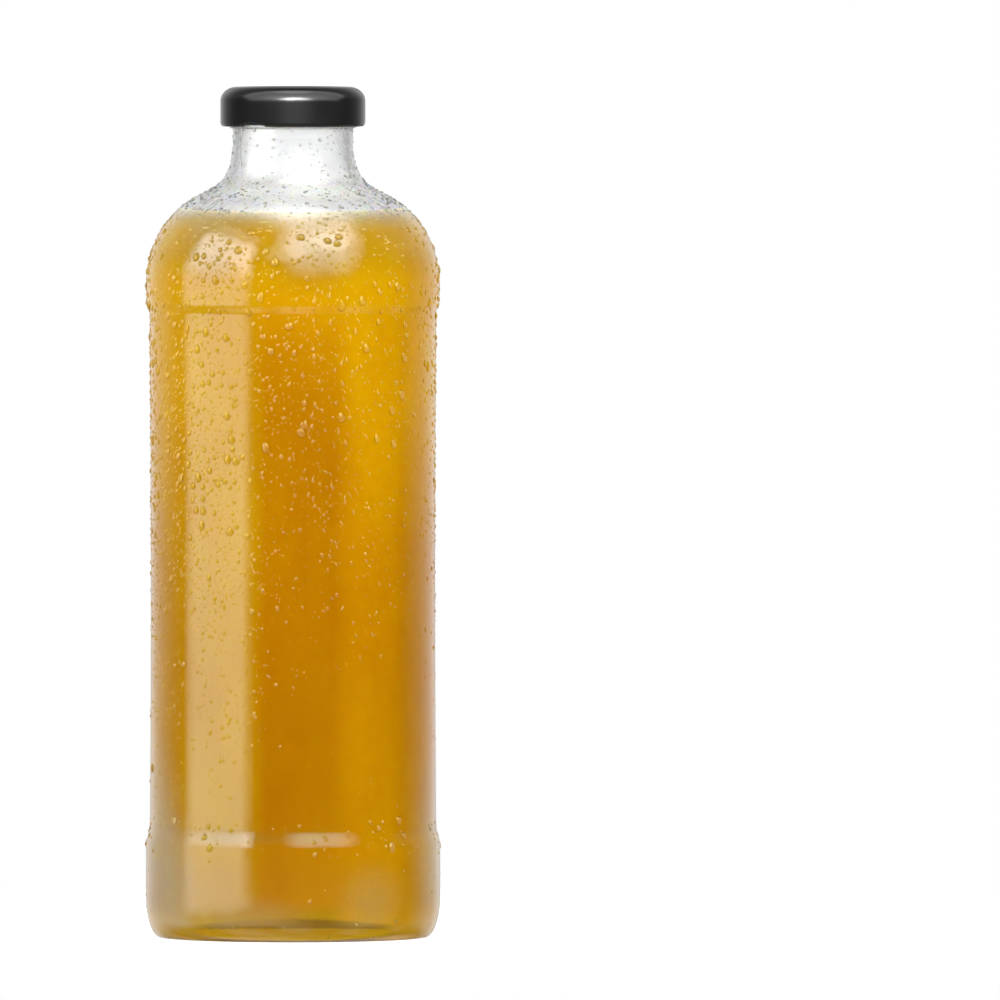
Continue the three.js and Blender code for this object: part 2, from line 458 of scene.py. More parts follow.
def with_foot_shade_and_light(tree, body, height, radius, outward, stipple):
    """The stippled ring of the foot, darkened with painted shade of the floor beneath and strongest at the
    front, and painted light on the underside within it.
    """
    low_down = 1 - tree.fade_in(height, *FOOT_TINT_END)
    turned_away = 1 - tree.facing(outward, 0)
    frayed = radius + RING_FRAYING * MM * (stipple - 0.5)
    outer_edge = RING_OUTER * MM - turned_away * (RING_OUTER_FALL * MM)
    inner_edge = RING_INNER * MM - turned_away * (RING_INNER_FALL * MM)
    ring = tree.fade_in(frayed - inner_edge, *RING_INNER_SOFTNESS)
    ring = ring * (1 - tree.fade_in(frayed - outer_edge, *RING_OUTER_SOFTNESS))
    ring = ring * (1 - tree.smooth(turned_away, 0.2, 0.5)) * low_down
    body = tree.mix_colour(ring * (0.75 + 0.5 * stipple), body, colour(*STIPPLE_AND_SHADE_COLOUR))
    underside = low_down * (1 - tree.fade_in(radius, *UNDERSIDE_EDGE))
    return tree.mix_colour(underside, body, colour(*PAINTED_UNDERSIDE_LIGHT))


def with_painted_haze_and_shade(tree, body, height, radius, outward, drift):
    """Patches of painted haze and painted shade on the side of the drink."""
    on_side = tree.fade_in(radius, *DRINK_SIDE)
    for azimuth, middle, width, rise, strength, shade in PAINTED_HAZE_AND_SHADE:
        aside = 1 - tree.facing(outward, azimuth)
        off = (height - middle * MM) / (rise * MM)
        away = (aside * (2 / math.radians(width) ** 2) + off * off) ** 0.5
        painted_patch = strength * on_side * (1 - tree.smooth(away + drift * 0.8 - 0.4, 0.0, 1.3))
        body = tree.mix_colour(painted_patch, body, colour(*shade))
    return body


def with_painted_top_reflection(tree, body, height, radius):
    """Painted reflection on the top of the drink, a pale white, short of the meniscus at its rim."""
    surface = FILL_LEVEL - MENISCUS_RISE
    rim = max(point[0] for point in drink_outline() if point[1] > FILL_LEVEL - 0.01)
    film = tree.fade_in(height, surface - 0.1, surface) * (1 - tree.fade_in(radius, rim - 0.4, rim - 0.1))
    return tree.mix_colour(film, body, colour(0.95, 0.95, 0.94))


def lemonade():
    """Cloudy golden drink with drifting pulp; painted light makes it paler under the shoulder than it is
    deeper below, and bands and patches of painted light, haze, shade and reflection lie on it.
    """
    material, tree = new_material("lemonade")
    place = tree.node("ShaderNodeTexCoord", output="Object")
    height = height_of(tree)
    level = level_part(tree, place)
    radius = tree.vector("LENGTH", level, output="Value")
    outward = tree.vector("NORMALIZE", level)
    drift = tree.noise(stretched(tree, (1, 1, 0.3)), 22.0, 2.0, 0.5)
    stipple = tree.noise(place, 1400.0, 2.0, 0.6)
    clouds = tree.noise(stretched(tree, (1, 1, 0.45)), 38.0, 3.0, 0.55)
    pulp = tree.noise(stretched(tree, (1, 1, 0.6)), 420.0, 3.0, 0.6)
    depth = tree.node("ShaderNodeMapRange", {}, {
        "Value": height, "From Min": 0.0, "From Max": FILL_LEVEL * MM,
    })
    body = tree.node("ShaderNodeValToRGB", {"stops": DRINK_COLOURS_AND_PAINTED_LIGHT}, {"Fac": depth}, "Color")
    body = with_painted_light_bands(tree, body, height, outward, drift)
    body = with_foot_shade_and_light(tree, body, height, radius, outward, stipple)
    body = with_painted_haze_and_shade(tree, body, height, radius, outward, drift)
    thickness = tree.smooth(clouds, 0.35, 0.65)
    settled = tree.mix_colour(thickness, colour(0.96, 0.92, 0.9), colour(1.03, 1.07, 1.0))
    body = tree.mix_colour(1.0, body, settled, "MULTIPLY")
    body = with_painted_top_reflection(tree, body, height, radius)
    grain = tree.mix_colour(pulp, colour(0.96, 0.94, 0.9), colour(1.04, 1.05, 1.0))
    drink = tree.node("ShaderNodeBsdfPrincipled", {}, {
        "Base Color": tree.mix_colour(1.0, body, grain, "MULTIPLY"),
        "Roughness": 0.35 + 0.1 * pulp,
        "IOR": 1.34,
        "Specular IOR Level": 0.0,
        "Subsurface Weight": 1.0,
        "Subsurface Radius": (1.0, 0.55, 0.08),
        "Subsurface Scale": 0.006,
    })
    tree.node("ShaderNodeOutputMaterial", {}, {"Surface": drink})
    return material


def black_enamel():
    """Stoved black enamel on tinplate, with a slight orange-peel and worn gloss."""
    material, tree = new_material("black_enamel")
    peel = tree.noise(stretched(tree, (1, 1, 1)), 900.0, 2.0, 0.5)
    wear = tree.noise(stretched(tree, (1, 1, 2)), 60.0, 3.0, 0.6)
    bump = tree.node("ShaderNodeBump", {}, {"Strength": 0.12, "Distance": 0.00005, "Height": peel})
    enamel = tree.node("ShaderNodeBsdfPrincipled", {}, {
        "Base Color": tree.mix_colour(wear, colour(0.0075, 0.0075, 0.0078), colour(0.0105, 0.0105, 0.0105)),
        "Roughness": 0.18 + 0.06 * wear,
        "Specular IOR Level": 0.2,
        "Normal": bump,
    })
    tree.node("ShaderNodeOutputMaterial", {}, {"Surface": enamel})
    return material


def white_lacquer():
    """Pale sealing lacquer on the inside of the cap."""
    material, tree = new_material("white_lacquer")
    cast = tree.noise(stretched(tree, (1, 1, 1)), 250.0, 2.0, 0.5)
    lacquer = tree.node("ShaderNodeBsdfPrincipled", {}, {
        "Base Color": tree.mix_colour(cast, colour(0.72, 0.72, 0.7), colour(0.8, 0.8, 0.79)),
        "Roughness": 0.35 + 0.1 * cast,
    })
    tree.node("ShaderNodeOutputMaterial", {}, {"Surface": lacquer})
    return material


def pale_floor():
    """White sweep under the bottle, lit from below; to all but the camera it fades out towards its edge."""
    material, tree = new_material("pale_floor")
    place = tree.node("ShaderNodeTexCoord", output="Object")
    away = tree.vector("LENGTH", place, output="Value")
    near = 1 - tree.fade_in(away, FLOOR_FULL_RADIUS, FLOOR_DISC_RADIUS)
    paper = tree.node("ShaderNodeBsdfDiffuse", {}, {"Color": colour(0.4, 0.4, 0.4)})
    seen = tree.node("ShaderNodeLightPath", output="Is Camera Ray")
    glow = 0.75 * seen + 0.62 * near * (1 - seen)
    lit = tree.node("ShaderNodeEmission", {}, {"Color": colour(1, 1, 1), "Strength": glow})
    clear = tree.node("ShaderNodeBsdfTransparent", {}, {"Color": colour(1, 1, 1)})
    kept = tree.math("MAXIMUM", near, seen)
    fading = tree.node("ShaderNodeMixShader", {}, {0: kept, 1: clear, 2: paper})
    surface = tree.node("ShaderNodeAddShader", {}, {0: fading, 1: lit})
    tree.node("ShaderNodeOutputMaterial", {}, {"Surface": surface})
    return material


# Turned shapes

def on_bezier(handles, share):
    """A point of the Bezier curve over any number of handles."""
    while len(handles) > 1:
        pairs = zip(handles, handles[1:])
        handles = [tuple(a + (b - a) * share for a, b in zip(first, last)) for first, last in pairs]
    return handles[0]


class Outline:
    """Half of a turned section: (radius, height) points in millimetres."""

    def __init__(self, radius, height):
        self.points = [(radius, height)]

    def line(self, radius, height, steps=1):
        start = self.points[-1]
        for step in range(1, steps + 1):
            self.points.append(on_bezier([start, (radius, height)], step / steps))

    def curve(self, *handles, steps=CURVE_STEPS):
        start = self.points[-1]
        for step in range(1, steps + 1):
            self.points.append(on_bezier([start, *handles], step / steps))

    def ellipse(self, centre, reach, rise, start, end, steps=CURVE_STEPS):
        for step in range(1, steps + 1):
            angle = start + (end - start) * step / steps
            self.points.append((centre[0] + reach * math.cos(angle), centre[1] + rise * math.sin(angle)))

    def step_to(self, radius, top):
        """A slanting step with rounded corners."""
        start, foot = self.points[-1]
        ease = (top - foot) * 0.2
        self.curve((start, foot + ease), (radius, top - ease), (radius, top))

    def flare_to(self, reach, rise, radius, top):
        """From the end of the shoulder's ellipse through the hollow flare to an upright neck."""
        across = -reach * math.sin(SHOULDER_ARC)
        up = rise * math.cos(SHOULDER_ARC)
        pull = FLARE_LOWER_PULL / math.hypot(across, up)
        x, y = self.points[-1]
        lower = (x + across * pull, y + up * pull)
        self.curve(lower, (radius, top - FLARE_UPPER_PULL), (radius, top), steps=2 * CURVE_STEPS)


def glass_outside():
    """From the middle of the punt out, up and over to the inner edge of the lip."""
    side = Outline(0, PUNT_HEIGHT)
    side.curve((PUNT_RADIUS * 0.6, PUNT_HEIGHT), (PUNT_RADIUS, 0))
    side.line(FOOT_RADIUS, 0, steps=3)
    reach = FOOT_RADIUS + (HEEL_RADIUS - FOOT_RADIUS) * 0.6
    side.curve((reach, 0), (HEEL_RADIUS, HEEL_CORNER_TOP * 0.43), (HEEL_RADIUS, HEEL_CORNER_TOP))
    side.line(HEEL_RADIUS, HEEL_TOP, steps=4)
    side.step_to(PANEL_RADIUS, PANEL_BOTTOM)
    waist = (PANEL_RADIUS - 2 * PANEL_WAIST, (PANEL_BOTTOM + PANEL_TOP) / 2)
    side.curve(waist, (PANEL_RADIUS, PANEL_TOP), steps=3 * CURVE_STEPS)
    side.step_to(BAND_RADIUS, BAND_BOTTOM)
    side.line(BAND_RADIUS, BAND_TOP, steps=2)
    centre = (BAND_RADIUS - SHOULDER_REACH, BAND_TOP)
    side.ellipse(centre, SHOULDER_REACH, SHOULDER_RISE, 0, SHOULDER_ARC, steps=2 * CURVE_STEPS)
    side.flare_to(SHOULDER_REACH, SHOULDER_RISE, NECK_RADIUS, SEAM_HEIGHT - SEAM_WIDTH / 2)
    bulge = NECK_RADIUS + 2 * SEAM_RELIEF
    side.curve((bulge, SEAM_HEIGHT), (NECK_RADIUS, SEAM_HEIGHT + SEAM_WIDTH / 2), steps=6)
    side.line(NECK_RADIUS, BEAD_BOTTOM - 0.1)
    side.line(NECK_RADIUS, BEAD_BOTTOM)
    side.curve((BEAD_RADIUS, BEAD_BOTTOM), (BEAD_RADIUS, BEAD_BOTTOM + 0.5), steps=6)
    side.line(BEAD_RADIUS, BEAD_TOP)
    over = BEAD_TOP + 0.4
    side.curve((BEAD_RADIUS, over), (FINISH_RADIUS, over), (FINISH_RADIUS, BEAD_TOP + 1), steps=6)
    side.line(FINISH_RADIUS, LIP_TOP - LIP_ROUNDING)
    side.curve((FINISH_RADIUS, LIP_TOP), (FINISH_RADIUS - LIP_ROUNDING, LIP_TOP), steps=6)
    side.curve((MOUTH_RADIUS, LIP_TOP), (MOUTH_RADIUS, LIP_TOP - LIP_ROUNDING), steps=6)
    return side.points


def hollow(inset, shoulder_arc):
    """The inside of the bottle, shrunk by an inset, from its floor up to an angle of the shoulder."""
    wall = PANEL_RADIUS - WALL - inset
    band = BAND_RADIUS - WALL - inset
    reach = SHOULDER_REACH - WALL - inset
    rise = SHOULDER_RISE - WALL - inset
    floor_edge = FLOOR_EDGE + inset
    inside = Outline(0, FLOOR_APEX + inset)
    inside.curve((FLOOR_RADIUS * 0.6, FLOOR_APEX + inset), (FLOOR_RADIUS, floor_edge))
    inside.curve((wall, floor_edge), (wall, FLOOR_CORNER_TOP))
    inside.line(wall, PANEL_TOP, steps=3 * CURVE_STEPS)
    inside.step_to(band, BAND_TOP)
    inside.ellipse((band - reach, BAND_TOP), reach, rise, 0, shoulder_arc, steps=2 * CURVE_STEPS)
    return inside


def glass_inside():
    inside = hollow(0, SHOULDER_ARC)
    inside.flare_to(SHOULDER_REACH - WALL, SHOULDER_RISE - WALL, BORE_RADIUS, FLARE_TOP)
    inside.line(BORE_RADIUS, BEAD_TOP, steps=2)
    inside.line(MOUTH_RADIUS, LIP_TOP - LIP_ROUNDING, steps=3)
    return inside.points


def drink_outline():
    """The drink out to just inside the wall, with a surface that curls up at its rim."""
    rise = SHOULDER_RISE - WALL + REACH_INTO_WALL
    drink = hollow(-REACH_INTO_WALL, math.asin((FILL_LEVEL - BAND_TOP) / rise))
    rim = drink.points[-1][0]
    low = FILL_LEVEL - MENISCUS_RISE
    drink.curve((rim - MENISCUS_WIDTH * 0.3, low), (rim - MENISCUS_WIDTH, low), steps=8)
    drink.line(0, low, steps=6)
    return drink.points


def cap_outline():
    """Sheet metal: its inner face from the middle out, then the curled edge and the outer face back."""
    crest = CAP_RADIUS - CAP_SHOULDER_REACH
    shoulder = CAP_TOP - CAP_SHOULDER_DROP
    panel = CAP_TOP - CAP_PANEL_DEPTH
    curl = (CAP_RADIUS - CURL_ROUNDING, CAP_BOTTOM + CURL_ROUNDING)
    slope = (CAP_PANEL_RADIUS + crest) / 2
    inner_reach = CAP_SHOULDER_REACH - CAP_SHEET
    inner_drop = CAP_SHOULDER_DROP - CAP_SHEET
    inner_panel = panel - CAP_SHEET
    inner_top = CAP_TOP - CAP_SHEET
    inner_face = Outline(0, inner_panel)
    inner_face.line(CAP_PANEL_RADIUS, inner_panel, steps=4)
    inner_face.curve((slope, inner_panel), (slope, inner_top), (crest, inner_top))
    inner_face.ellipse((crest, shoulder), inner_reach, inner_drop, math.pi / 2, 0)
    inner_face.line(CAP_RADIUS - CAP_SHEET, curl[1] + 2.2 * CURL_ROUNDING, steps=4)
    inner_face.ellipse(curl, CURL_ROUNDING, CURL_ROUNDING, math.pi * 0.75, math.pi * 1.25)
    outer_face = Outline(*inner_face.points[-1])
    outer_face.ellipse(curl, CURL_ROUNDING, CURL_ROUNDING, math.pi * 1.25, math.pi * 2, steps=16)
    outer_face.line(CAP_RADIUS, CAP_BOTTOM + LUG_REACH, steps=8)
    outer_face.line(CAP_RADIUS, shoulder, steps=8)
    outer_face.ellipse((crest, shoulder), CAP_SHOULDER_REACH, CAP_SHOULDER_DROP, 0, math.pi / 2)
    outer_face.curve((slope, CAP_TOP), (slope, panel), (CAP_PANEL_RADIUS, panel))
    outer_face.line(0, panel, steps=4)
    return inner_face.points, outer_face.points[1:]


def mesh_object(name, points, faces):
    """An object at the origin from points in millimetres."""
    mesh = bpy.data.meshes.new(name)
    mesh.from_pydata([Vector(point) * MM for point in points], [], faces)
    mesh.polygons.foreach_set("use_smooth", [True] * len(mesh.polygons))
    mesh.update()
    made = bpy.data.objects.new(name, mesh)
    bpy.context.scene.collection.objects.link(made)
    return made


def turned(name, outline, sides):
    """Turns an outline round the Z axis; the solid lies to its left, and points on the axis are poles."""
    points = []
    rings = []
    for radius, height in outline:
        first = len(points)
        if radius < 1e-6:
            points.append((0, 0, height))
            rings.append([first] * sides)
            continue
        for side in range(sides):
            angle = 2 * math.pi * side / sides
            points.append((radius * math.cos(angle), radius * math.sin(angle), height))
        rings.append(list(range(first, first + sides)))
    faces = []
    for lower, upper in zip(rings, rings[1:]):
        for side in range(sides):
            after = (side + 1) % sides
            corners = [lower[side], lower[after], upper[after], upper[side]]
            faces.append(list(dict.fromkeys(corners)))
    return mesh_object(name, points, faces)


def azimuth_of(point):
    """The direction of a point from the axis, in degrees: 0 to the front, 90 to the right."""
    return math.degrees(math.atan2(point.x, -point.y))


def press_lugs(cap):
    """Presses the curl of the cap in under an arch at each lug."""
    for vertex in cap.data.vertices:
        place = vertex.co
        radius = math.hypot(place.x, place.y) / MM
        height = place.z / MM - CAP_BOTTOM
        turn = (azimuth_of(place) - FIRST_LUG_AZIMUTH) % (360 / LUG_COUNT)
        turn = min(turn, 360 / LUG_COUNT - turn)
        away = math.radians(turn) * CAP_RADIUS / LUG_HALF_WIDTH
        if away >= 1 or height > LUG_REACH or radius < CAP_RADIUS - 2.5 * CURL_ROUNDING:
            continue
        arch = LUG_RISE * (1 - away ** 4) ** 0.5
        press = min(1, max(0, (arch - height) / LUG_SLOPE))
        press = press * press * (3 - 2 * press)
        place.xy *= 1 - press * LUG_DEPTH / radius
        place.z += press * (arch - height) * 0.3 * MM
    cap.data.update()


# Drops

def drop_shape(name, sides, rings, height, tear):
    """A bead of water of unit radius on the XY plane, heavier towards -Y, with its foot just sunk in."""
    sphere = (1 + height ** 2) / (2 * height)
    widest = math.atan2(1, sphere - height)
    points = [(0, 0, height)]
    faces = []
    for ring in range(1, rings + 1):
        tilt = widest * ring / rings
        for side in range(sides):
            angle = 2 * math.pi * side / sides
            x = sphere * math.sin(tilt) * math.cos(angle)
            y = sphere * math.sin(tilt) * math.sin(angle)
            z = height - sphere * (1 - math.cos(tilt)) - DROP_SINK
            points.append((x * (1 - tear * y), y, z * (1 - tear * y)))
    points.append((0, 0, -2 * DROP_SINK))
    foot = len(points) - 1
    for side in range(sides):
        after = (side + 1) % sides
        faces.append([0, 1 + side, 1 + after])
        for ring in range(rings - 1):
            upper = 1 + ring * sides
            lower = upper + sides
            faces.append([upper + side, lower + side, lower + after, upper + after])
        last_ring = 1 + (rings - 1) * sides
        faces.append([foot, last_ring + after, last_ring + side])
    shape = mesh_object(name, points, faces)
    shape.data.transform(Matrix.Scale(1 / MM, 4))
    for edge in shape.data.edges:
        edge.use_edge_sharp = min(edge.vertices) >= foot - sides and foot not in edge.vertices
    return shape


# Sizes that a scatter of drops is asked for by name
SCATTER_INPUTS = {
    "Drop": "NodeSocketObject",
    "Keep Clear Of": "NodeSocketObject",
    "Clearance": "NodeSocketFloat",
    "Spacing": "NodeSocketFloat",
    "Density": "NodeSocketFloat",
    "Smallest": "NodeSocketFloat",
    "Largest": "NodeSocketFloat",
    "Rarity": "NodeSocketFloat",
    "Stretch": "NodeSocketFloat",
    "Wander": "NodeSocketFloat",
    "Slant": "NodeSocketFloat",
    "Dry Height": "NodeSocketFloat",
    "Wet Height": "NodeSocketFloat",
    "Dry Share": "NodeSocketFloat",
    "Top Height": "NodeSocketFloat",
    "Ledge Share": "NodeSocketFloat",
    "Patchiness": "NodeSocketFloat",
    "Seed": "NodeSocketInt",
    "Material": "NodeSocketMaterial",
}


def wetness(tree, place, height, asked):
    """How thickly drops lie: more of them high up, on the wetter side and along the lower step."""
    outward = tree.vector("NORMALIZE", level_part(tree, place))
    wetter_side = tree.smooth(tree.facing(outward, WETTER_AZIMUTH), *WETTER_COSINES)
    climb = height + WETTER_REACH * MM * wetter_side
    wet = tree.smooth(climb, asked("Dry Height"), asked("Wet Height"), asked("Dry Share"), 1.0)
    wet = wet * (0.75 + 0.25 * wetter_side) * tree.math("LESS_THAN", height, asked("Top Height"))
    to_front = tree.math("ABSOLUTE", tree.facing(outward, 0))
    neck = tree.fade_in(height, *NECK_RANGE)
    wet = wet * (1 - 0.5 * neck * tree.smooth(to_front, 0.3, 0.8))
    patches = tree.noise(place, 55.0, 2.0)
    patchy = tree.smooth(patches, 0.38, 0.58, 1 - asked("Patchiness"), 1.0)
    ledge = tree.fade_in(height, HEEL_TOP - 1, HEEL_TOP)
    ledge = ledge * (1 - tree.fade_in(height, PANEL_BOTTOM, PANEL_BOTTOM + 1))
    return tree.math("MAXIMUM", wet * patchy, ledge * asked("Ledge Share"))


def drop_scale(tree, height, asked):
    """Each drop's size, and its scale: long on the wall, wide on the dome."""
    chance = tree.node("FunctionNodeRandomValue", {}, {"Seed": asked("Seed")}, "Value")
    spread = asked("Largest") - asked("Smallest")
    size = asked("Smallest") + spread * chance ** asked("Rarity")
    other_chance = tree.node("FunctionNodeRandomValue", {}, {"Seed": asked("Seed") + 7}, "Value")
    long = size * (1 + asked("Stretch") * other_chance)
    on_dome = tree.fade_in(height, *DOME_RANGE)
    wide = size + (long - size) * on_dome
    tall = long + (size * 0.85 - long) * on_dome
    return size, tree.node("ShaderNodeCombineXYZ", {}, {"X": wide, "Y": tall, "Z": size})


def remembered(tree, geometry, kind, name, value):
    """Stores a value with each point, to be recalled once the drops are real."""
    settings = {"data_type": kind, "domain": "POINT"}
    inputs = {"Geometry": geometry, "Name": name, "Value": value}
    return tree.node("GeometryNodeStoreNamedAttribute", settings, inputs)


def recalled(tree, kind, name):
    return tree.node("GeometryNodeInputNamedAttribute", {"data_type": kind}, {"Name": name}, "Attribute")


def free_points(tree, points, asked):
    """The points that don't crowd the drops that are there already."""
    larger = tree.node("GeometryNodeObjectInfo", {}, {"Object": asked("Keep Clear Of")}, "Geometry")
    gap = tree.node("GeometryNodeProximity", {}, {"Geometry": larger}, "Distance")
    there = tree.node("GeometryNodeAttributeDomainSize", {}, {"Geometry": larger}, "Point Count")
    crowded = tree.math("LESS_THAN", gap, asked("Clearance")) * tree.math("GREATER_THAN", there, 0.5)
    return tree.node("GeometryNodeDeleteGeometry", {}, {"Geometry": points, "Selection": crowded})


def hanging(tree, lean, asked):
    """Turns each drop's heavy end down, give or take a slant."""
    upright = tree.node(
        "FunctionNodeAlignRotationToVector", {"axis": "Y", "pivot_axis": "Z"},
        {"Rotation": lean, "Vector": (0, 0, 1)},
    )
    tilt_chance = tree.node("FunctionNodeRandomValue", {}, {
        "Min": -1.0, "Max": 1.0, "Seed": asked("Seed") + 13,
    }, "Value")
    slant = tree.node(
        "FunctionNodeAxisAngleToRotation", {}, {"Axis": (0, 0, 1), "Angle": tilt_chance * asked("Slant")},
    )
    return tree.node(
        "FunctionNodeRotateRotation", {"rotation_space": "LOCAL"}, {"Rotation": upright, "Rotate By": slant},
    )


def uneven(tree, drops, place, asked):
    """Gives each drop an outline of its own: its points wander along the glass."""
    own_size = recalled(tree, "FLOAT", "size")
    own_side = recalled(tree, "FLOAT_VECTOR", "side")
    apart = tree.scaled(place, 0.55 / own_size)
    drift = tree.node("ShaderNodeTexNoise", {}, {"Vector": apart, "Scale": 1.0, "Detail": 1.0}, "Color")
    centred = tree.vector("SUBTRACT", drift, (0.5, 0.5, 0.5))
    off_glass = tree.vector("DOT_PRODUCT", centred, own_side, output="Value")
    flat = tree.vector("SUBTRACT", centred, tree.scaled(own_side, off_glass))
    moved = tree.scaled(flat, own_size * asked("Wander"))
    return tree.node("GeometryNodeSetPosition", {}, {"Geometry": drops, "Offset": moved})


def scatter_tree():
    """Drops scattered over a skin, each with its own size and outline."""
    node_tree = bpy.data.node_groups.new("scattered_drops", "GeometryNodeTree")
    interface = node_tree.interface
    interface.new_socket("Skin", in_out="INPUT", socket_type="NodeSocketGeometry")
    for name, kind in SCATTER_INPUTS.items():
        interface.new_socket(name, in_out="INPUT", socket_type=kind)
    interface.new_socket("Drops", in_out="OUTPUT", socket_type="NodeSocketGeometry")
    tree = Tree(node_tree)
    asked = tree.node("NodeGroupInput").out

    place = tree.node("GeometryNodeInputPosition")
    height = tree.node("ShaderNodeSeparateXYZ", {}, {"Vector": place}, "Z")
    points = tree.node("GeometryNodeDistributePointsOnFaces", {"distribute_method": "POISSON"}, {
        "Mesh": asked("Skin"),
        "Distance Min": asked("Spacing"),
        "Density Max": asked("Density"),
        "Density Factor": wetness(tree, place, height, asked),
        "Seed": asked("Seed"),
    })
    size, scale = drop_scale(tree, height, asked)
    marked = remembered(tree, points, "FLOAT", "size", size)
    marked = remembered(tree, marked, "FLOAT_VECTOR", "side", points.out("Normal"))
    shape = tree.node("GeometryNodeObjectInfo", {}, {"Object": asked("Drop")}, "Geometry")
    drops = tree.node("GeometryNodeInstanceOnPoints", {}, {
        "Points": free_points(tree, marked, asked),
        "Instance": shape,
        "Rotation": hanging(tree, points.out("Rotation"), asked),
        "Scale": scale,
    })
    real = tree.node("GeometryNodeRealizeInstances", {}, {"Geometry": drops})
    shaped = uneven(tree, real, place, asked)
    finished = tree.node("GeometryNodeSetMaterial", {}, {"Geometry": shaped, "Material": asked("Material")})
    tree.node("NodeGroupOutput", {}, {"Drops": finished})
    return node_tree


def scattered(name, skin, scatter, sizes):
    """Runs the scatter tree on a skin and keeps the result as a plain mesh."""
    carrier = bpy.data.objects.new(name + "_carrier", skin.data)
    bpy.context.scene.collection.objects.link(carrier)
    modifier = carrier.modifiers.new("drops", "NODES")
    modifier.node_group = scatter
    for item in scatter.interface.items_tree:
        if item.in_out == "INPUT" and item.name in sizes:
            modifier[item.identifier] = sizes[item.name]
    depsgraph = bpy.context.evaluated_depsgraph_get()
    mesh = bpy.data.meshes.new_from_object(carrier.evaluated_get(depsgraph))
    mesh.name = name
    for attribute in ("size", "side"):
        mesh.attributes.remove(mesh.attributes[attribute])
    bpy.data.objects.remove(carrier)
    drops = bpy.data.objects.new(name, mesh)
    bpy.context.scene.collection.objects.link(drops)
    return drops


def dress(piece, material=None, stands_for=None):
    """Rides a piece on the bottle and gives it its finish."""
    if material:
        piece.data.materials.clear()
        piece.data.materials.append(material)
    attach(piece, "root")
    if stands_for:
        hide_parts(stands_for)


def drop_skin():
    """The part of the glass that mists over, from the heel up to the bead."""
    points = [p for p in glass_outside() if p[1] > HEEL_CORNER_TOP or p[0] > FOOT_RADIUS]
    neck = [p for p in points if p[1] < BEAD_BOTTOM]
    return turned("drop_skin", neck, GLASS_SIDES)


def make_drops(water_finish):
    """Large, middling and fine drops; each kind keeps clear of the large ones."""
    skin = drop_skin()
    scatter = scatter_tree()
    fine = drop_shape("fine_drop", sides=5, rings=2, height=0.45, tear=0.0)
    middling = drop_shape("middling_drop", sides=8, rings=2, height=0.5, tear=0.12)
    large = drop_shape("large_drop", sides=20, rings=5, height=0.5, tear=0.2)
    common = {"Material": water_finish}
    large_drops = scattered("large_drops", skin, scatter, {
        **common, "Drop": large, "Spacing": 2.1 * MM, "Density": 70000.0, "Smallest": 0.65 * MM,
        "Largest": 1.35 * MM, "Rarity": 1.8, "Stretch": 0.4, "Wander": 0.5, "Slant": 0.3, "Dry Height": 0.12,
        "Wet Height": 0.19, "Dry Share": 0.02, "Top Height": 0.205, "Ledge Share": 0.15,
        "Patchiness": 0.7, "Seed": 4,
    })
    middling_drops = scattered("middling_drops", skin, scatter, {
        **common, "Drop": middling, "Keep Clear Of": large_drops, "Clearance": 0.5 * MM,
        "Spacing": 0.85 * MM, "Density": 360000.0, "Smallest": 0.26 * MM, "Largest": 0.68 * MM,
        "Rarity": 2.0, "Stretch": 0.5, "Wander": 0.15, "Slant": 0.8, "Dry Height": 0.055, "Wet Height": 0.175,
        "Dry Share": 0.03, "Top Height": NO_TOP, "Ledge Share": 0.25, "Patchiness": 0.45, "Seed": 11,
    })
    fine_drops = scattered("fine_drops", skin, scatter, {
        **common, "Drop": fine, "Keep Clear Of": large_drops, "Clearance": 0.15 * MM,
        "Spacing": 0.5 * MM, "Density": 360000.0, "Smallest": 0.12 * MM, "Largest": 0.28 * MM,
        "Rarity": 1.3, "Stretch": 0.5, "Wander": 0.1, "Slant": 1.0, "Dry Height": 0.035, "Wet Height": 0.17,
        "Dry Share": 0.05, "Top Height": NO_TOP, "Ledge Share": 0.2, "Patchiness": 0.35, "Seed": 23,
    })
    for spare in (skin, fine, middling, large):
        bpy.data.objects.remove(spare)
    for drops in (large_drops, middling_drops, fine_drops):
        dress(drops)


# Studio

def softbox(tree, azimuth, elevation, box, feather):
    """How far a direction or place lies within a soft-edged box, given by its left, right, bottom and top."""
    left, right, bottom, top = box
    inside = tree.smooth(azimuth, left - feather[0], left + feather[0])
    inside = inside * (1 - tree.smooth(azimuth, right - feather[1], right + feather[1]))
    inside = inside * tree.smooth(elevation, bottom - feather[2], bottom + feather[2])
    return inside * (1 - tree.smooth(elevation, top - feather[3], top + feather[3]))


def soft_oval(tree, across, up, middle, reach, softness):
    """How far a place lies within an oval with a soft edge."""
    sideways = (across - middle[0]) / reach[0]
    upward = (up - middle[1]) / reach[1]
    out = (sideways * sideways + upward * upward) ** 0.5
    return 1 - tree.smooth(out, 1 - softness, 1 + softness)


